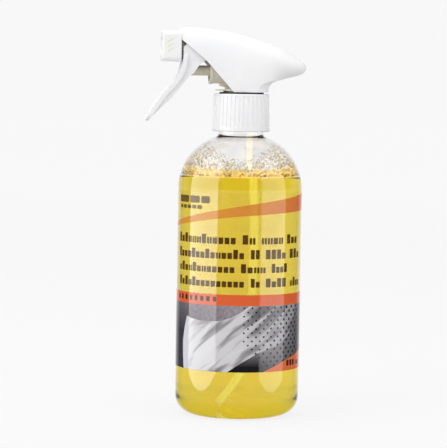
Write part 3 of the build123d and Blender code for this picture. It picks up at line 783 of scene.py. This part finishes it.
def picture_dots():
    """Staggered rows of dots over the picture's right side, which grow to the right."""
    dots = []
    for row in range(DOT_ROWS):
        z = DOT_FIRST[1] + DOT_PITCH * row
        left_end = 3 + 0.75 * max(0, 46 - z)
        for column in range(DOT_COLUMNS):
            s = DOT_FIRST[0] + DOT_PITCH * (2 * column + row % 2)
            if z > DOT_TOP or s < left_end or s > LABEL_RIGHT - 1:
                continue
            size = 0.50 + 0.45 * min(1.0, max(0.0, (s - 4) / 42))
            dots.append(arc(s, z, size, 0, 330, 11))
    return dots


def build_picture():
    print_on("print_picture", [across_label(LABEL_BOTTOM, BAND_BOTTOM)], 1, picture_ground())
    print_on("print_cloth", [list(CLOTH)], 2, cloth_picture())
    print_on("print_dots", picture_dots(), 3, ink("ink_dots", rgb(24, 22, 26), 0.95))
    curve = [(LABEL_RIGHT, 42.2), (50.8, 38.7), (30.0, 33.9)]
    corner = [(14.8, LABEL_BOTTOM), (LABEL_RIGHT, LABEL_BOTTOM)] + curve
    orange = ink("ink_orange", rgb(228, 104, 44), 1.0, 0.05)
    print_on("print_corner", [corner], 4, orange)
    bars = [block(left, 30.6, left + 2.2, 34.0, 0.6) for left in (32.0, 35.0, 38.0)]
    bars += [block(43.0, 30.6, 47.0, 33.0, 0.6)]
    print_on("print_volume", bars, 5, ink("ink_volume", rgb(70, 24, 10), 0.92))
    band = ink("ink_band", rgb(226, 92, 28), 1.0, 0.05)
    print_on("print_band", [across_label(BAND_BOTTOM, BAND_TOP)], 2, band)


build_film()
build_text()
build_swoosh()
build_picture()


# ---- return spring and nozzle marks ----------------------------------------------------------------
def build_spring():
    """The coil inside the pump. The real one shortens as the piston moves back; this mesh is built at one
    length.
    """
    low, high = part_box("return_spring")
    wire_r = 0.4
    front, rear = low.x / MM + wire_r, high.x / MM - wire_r
    axis_z = (low.z + high.z) / 2 / MM
    coil_r = (high.z - low.z) / 2 / MM - wire_r
    turns, per_turn, ring = 6.5, 36, 10
    dead = 0.7  # turns at each end that lie almost flat
    count = int(turns * per_turn)
    verts, faces = [], []
    for i in range(count + 1):
        angle = 2 * math.pi * turns * i / count
        along = min(max((angle / (2 * math.pi) - dead) / (turns - 2 * dead), 0), 1)
        pitch_end = 2.1 * wire_r * min(angle / (2 * math.pi), dead) / dead * 0.4
        x = front + pitch_end + along * (rear - front - 2 * pitch_end)
        out = Vector((0, math.cos(angle), math.sin(angle)))
        centre = Vector((x, 0, axis_z)) + out * coil_r
        for k in range(ring):
            turn = 2 * math.pi * k / ring
            point = centre + wire_r * (math.cos(turn) * out + math.sin(turn) * Vector((1, 0, 0)))
            verts.append(tuple(point))
    for i in range(count):
        for k in range(ring):
            a, b = ring * i + k, ring * i + (k + 1) % ring
            faces.append((a, b, b + ring, a + ring))
    faces.append(tuple(range(ring))[::-1])
    faces.append(tuple(ring * count + k for k in range(ring)))
    spring = add_mesh("return_spring_wire", verts, faces, spring_steel())
    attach(spring, "head")
    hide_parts("return_spring")
    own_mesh(spring)


def build_nozzle_marks():
    """Three short slanted ribs on each side of the nozzle."""
    low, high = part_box("nozzle_cap")
    verts, faces = [], []
    for side in (-1, 1):
        face_y = side * (high.y / MM - 0.42)
        for i in range(3):
            x0, z0 = -43.6 + 0.2 * i, 213.2 - 2.7 * i
            x1, z1 = x0 + 3.4, z0 + 1.8
            across = Vector((z1 - z0, 0, -(x1 - x0))).normalized() * 0.42
            start = len(verts)
            for x, z in ((x0, z0), (x1, z1)):
                for sign in (-1, 1):
                    for y in (face_y - side * 0.5, face_y + side * 0.22):
                        verts.append((x + sign * across.x, y, z + sign * across.z))
            box = ((0, 1, 3, 2), (4, 6, 7, 5), (0, 4, 5, 1), (2, 3, 7, 6), (0, 2, 6, 4), (1, 5, 7, 3))
            for face in box:
                faces.append([start + k for k in (face if side > 0 else face[::-1])])
    cream = moulded_plastic("mark_plastic", rgb(240, 238, 200), rgb(232, 230, 188), 0.4)
    ribs = add_mesh("nozzle_marks", verts, faces, cream, False)
    bevel = ribs.modifiers.new("Bevel", "BEVEL")
    bevel.width, bevel.segments = 0.12 * MM, 2
    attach(ribs, "nozzle")


build_spring()
build_nozzle_marks()


# ---- studio ----------------------------------------------------------------------------------------
BACKDROP = 0.937  # brightness of the white backdrop
# how much it glows near the bottle and far off, to meet the backdrop's level
FLOOR_GLOW, FAR_GLOW = 1.01, 1.055
FLOOR_HALF = 9000  # half of its side, in millimetres
FLOOR_BOUNCE = 0.70  # what it adds to the underside of things
FLOOR_PAINTED_SHADOW = (  # painted shadow round the bottle's foot: how bright the floor looks through the bottle, by distance from it in metres
    (0.03, (0.20, 0.20, 0.20)),
    (0.055, (0.60, 0.60, 0.60)),
    (0.08, (0.92, 0.92, 0.92)),
    (0.15, (1.0, 1.0, 1.0)),
)


def build_floor():
    """A pale sweep that glows a little, so that it meets the backdrop without a line."""
    paint = Paint("floor")
    fleck = paint.noise(6, 2)
    base = paint.mix(fleck, rgb(250, 250, 250), rgb(247, 247, 247))
    diffuse = paint.node("BsdfDiffuse", Color=base)
    path = paint.node("LightPath")
    place = paint.node("TexCoord").outputs["Object"]
    away = paint.node("VectorMath", {"operation": "LENGTH"}, i0=place).outputs["Value"]
    far = paint.math("MULTIPLY_ADD", paint.span(away, 0.3, 2.5), FAR_GLOW - FLOOR_GLOW, FLOOR_GLOW)
    strength = paint.math("MULTIPLY_ADD", path.outputs["Is Diffuse Ray"], FLOOR_BOUNCE - FLOOR_GLOW, far)
    # painted shadow: the floor seen through the bottle is darkened near its foot, while other rays see it
    # unshaded
    shade = paint.ramp(away, FLOOR_PAINTED_SHADOW)
    shade = paint.mix(path.outputs["Is Transmission Ray"], (1, 1, 1, 1), shade)
    strength = paint.math("MULTIPLY", strength, shade)
    glow = paint.node("Emission", Color=(BACKDROP, BACKDROP, BACKDROP, 1), Strength=strength)
    shader = paint.node("MixShader", Fac=0.9, i1=diffuse.outputs[0], i2=glow.outputs[0])
    paint.surface(shader.outputs[0])
    corners = [(x * FLOOR_HALF, y * FLOOR_HALF, 0) for x, y in ((-1, -1), (1, -1), (1, 1), (-1, 1))]
    floor = add_mesh("floor", corners, [(0, 1, 2, 3)], paint.material)
    floor.visible_glossy = False


# how bright the room looks to matt surfaces, in reflections and through the bottle
ROOM_FILL, ROOM_GLOSS, ROOM_THROUGH = 0.54, 0.11, 0.16
BACKDROP_EDGE = (0.25, 0.60)  # how far round, as a cosine, the white backdrop fades out
MIRROR_EDGE = (0.72, 0.95)  # the same for reflections, which take in less of it


def build_world():
    """A white backdrop behind the object, a pale room for soft light, and a dark one in reflections."""
    world = bpy.data.worlds.new("studio")
    scene.world = world
    world.use_nodes = True
    tree = world.node_tree
    tree.nodes.clear()
    output = tree.nodes.new("ShaderNodeOutputWorld")

    def background(level):
        made = tree.nodes.new("ShaderNodeBackground")
        made.inputs["Color"].default_value = (level, level, level, 1)
        return made.outputs[0]

    def mix(fac, a, b):
        made = tree.nodes.new("ShaderNodeMixShader")
        tree.links.new(fac, made.inputs["Fac"])
        tree.links.new(a, made.inputs[1])
        tree.links.new(b, made.inputs[2])
        return made.outputs[0]

    path = tree.nodes.new("ShaderNodeLightPath")
    direction = tree.nodes.new("ShaderNodeTexCoord").outputs["Generated"]
    ahead = tree.nodes.new("ShaderNodeVectorMath")
    ahead.operation = "DOT_PRODUCT"
    a = math.radians(CAMERA_AZIMUTH)
    ahead.inputs[1].default_value = (-math.sin(a), math.cos(a), 0)
    tree.links.new(direction, ahead.inputs[0])

    def spread(edge):
        made = tree.nodes.new("ShaderNodeMapRange")
        made.inputs["From Min"].default_value, made.inputs["From Max"].default_value = edge
        tree.links.new(ahead.outputs["Value"], made.inputs["Value"])
        return made.outputs[0]

    through = mix(spread(BACKDROP_EDGE), background(ROOM_THROUGH), background(BACKDROP))
    mirrored = mix(spread(MIRROR_EDGE), background(ROOM_GLOSS), background(BACKDROP))
    seen = mix(path.outputs["Is Glossy Ray"], background(ROOM_FILL), mirrored)
    seen = mix(path.outputs["Is Transmission Ray"], seen, through)
    seen = mix(path.outputs["Is Camera Ray"], seen, background(BACKDROP))
    tree.links.new(seen, output.inputs["Surface"])


def panel_light(name, location, target, width, height, radiance, gloss):
    """A large panel that faces a point. It lights either the gloss or the matt shading, never both."""
    light = bpy.data.lights.new(name, "AREA")
    light.shape = "RECTANGLE"
    light.size, light.size_y = width, height
    light.energy = radiance * math.pi * width * height
    panel = bpy.data.objects.new(name, light)
    scene.collection.objects.link(panel)
    panel.location = location
    panel.rotation_mode = "QUATERNION"
    panel.rotation_quaternion = (Vector(target) - panel.location).to_track_quat("-Z", "Y")
    panel.visible_camera = False
    panel.visible_transmission = False
    panel.visible_glossy = gloss
    panel.visible_diffuse = not gloss
    return panel


def around(azimuth, distance, height):
    """A place round the bottle. Azimuth 0 is the camera's side, positive to its right."""
    angle = math.radians(CAMERA_AZIMUTH + azimuth)
    return Vector((distance * math.sin(angle), -distance * math.cos(angle), height))


STRIP_DISTANCE, STRIP_MIDDLE, STRIP_HEIGHT = 0.79, 0.6, 1.38
STRIPS = (("strip_left", -102, -40.0, 3.9), ("strip_right", 40.5, 93.0, 2.3))  # azimuths, then radiance


def build_lights():
    for name, low, high, radiance in STRIPS:
        width = 2 * STRIP_DISTANCE * math.tan(math.radians((high - low) / 2))
        place = around((low + high) / 2, STRIP_DISTANCE, STRIP_MIDDLE)
        panel_light(name, place, (0, 0, STRIP_MIDDLE), width, STRIP_HEIGHT, radiance, True)
    panel_light("key", around(-48, 1.1, 0.75), (0, 0, 0.16), 0.9, 0.9, 2.5, False)
    panel_light("fill", around(55, 1.2, 0.35), (0, 0, 0.14), 0.9, 1.2, 1.2, False)
    panel_light("top", (-0.1, 0.1, 1.3), (0, 0, 0.15), 1.2, 1.2, 1.62, False)
    panel_light("top_sheen", (-0.25, -0.1, 1.3), (0, 0, 0.2), 1.2, 0.8, 1.0, True)


def build_camera():
    camera = bpy.data.cameras.new("camera")
    camera.lens = CAMERA_LENS
    camera.sensor_width = 36.0
    camera.clip_start, camera.clip_end = 0.05, 40
    eye = bpy.data.objects.new("camera", camera)
    scene.collection.objects.link(eye)
    a = math.radians(CAMERA_AZIMUTH)
    ground = CAMERA_DISTANCE * math.sin(a), -CAMERA_DISTANCE * math.cos(a)
    place = Matrix.Translation((*ground, CAMERA_HEIGHT))
    turn = Matrix.Rotation(a + math.radians(CAMERA_YAW), 4, "Z")
    tilt = Matrix.Rotation(math.radians(90 - CAMERA_PITCH), 4, "X")
    roll = Matrix.Rotation(math.radians(CAMERA_ROLL), 4, "Z")
    eye.matrix_world = place @ turn @ tilt @ roll
    scene.camera = eye


build_floor()
build_world()
build_lights()
build_camera()
scene.view_settings.view_transform = "Standard"
scene.cycles.max_bounces = 24
scene.cycles.transmission_bounces = 20
scene.cycles.transparent_max_bounces = 24
